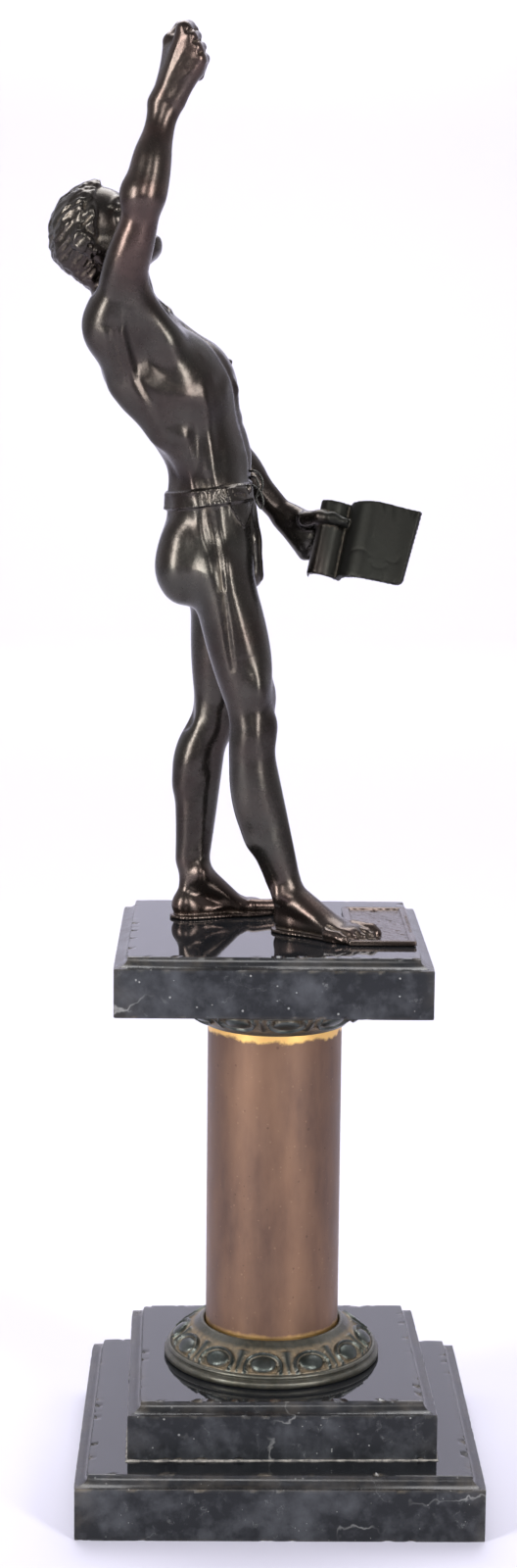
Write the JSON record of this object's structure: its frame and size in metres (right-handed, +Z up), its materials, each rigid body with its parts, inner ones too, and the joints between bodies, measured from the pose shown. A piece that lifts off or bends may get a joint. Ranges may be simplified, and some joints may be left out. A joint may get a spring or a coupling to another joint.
{
  "type": "bronze statue of a youth on a marble column plinth",
  "caption": "Bronze youth with raised fist and open book, standing on a marble slab carried by a brass tube column with cast rings and a stepped marble base.",
  "frame": {"origin": "centre of the underside of the lower marble step", "axes": "+Z up, +X the way the youth faces, -Y the side of the raised arm"},
  "size_m": [0.2283, 0.21, 0.7587],
  "materials": {
    "bronze": "dark brown patina on cast bronze, satin, rubbed on the high spots",
    "ring_bronze": "green-grey patina on cast bronze, satin, with tan residue in the recesses",
    "tube_brass": "copper-brown lacquer on brass tube, satin, worn to bright brass at the top edge",
    "black_marble": "black marble, polished on top and honed on the sides, with faint pale veins"
  },
  "bodies": {
    "root": {"figure": "bronze", "top_slab": "black_marble", "capital_ring": "ring_bronze", "column": "tube_brass", "base_ring": "ring_bronze", "upper_step": "black_marble", "lower_step": "black_marble"}
  },
  "joints": []
}
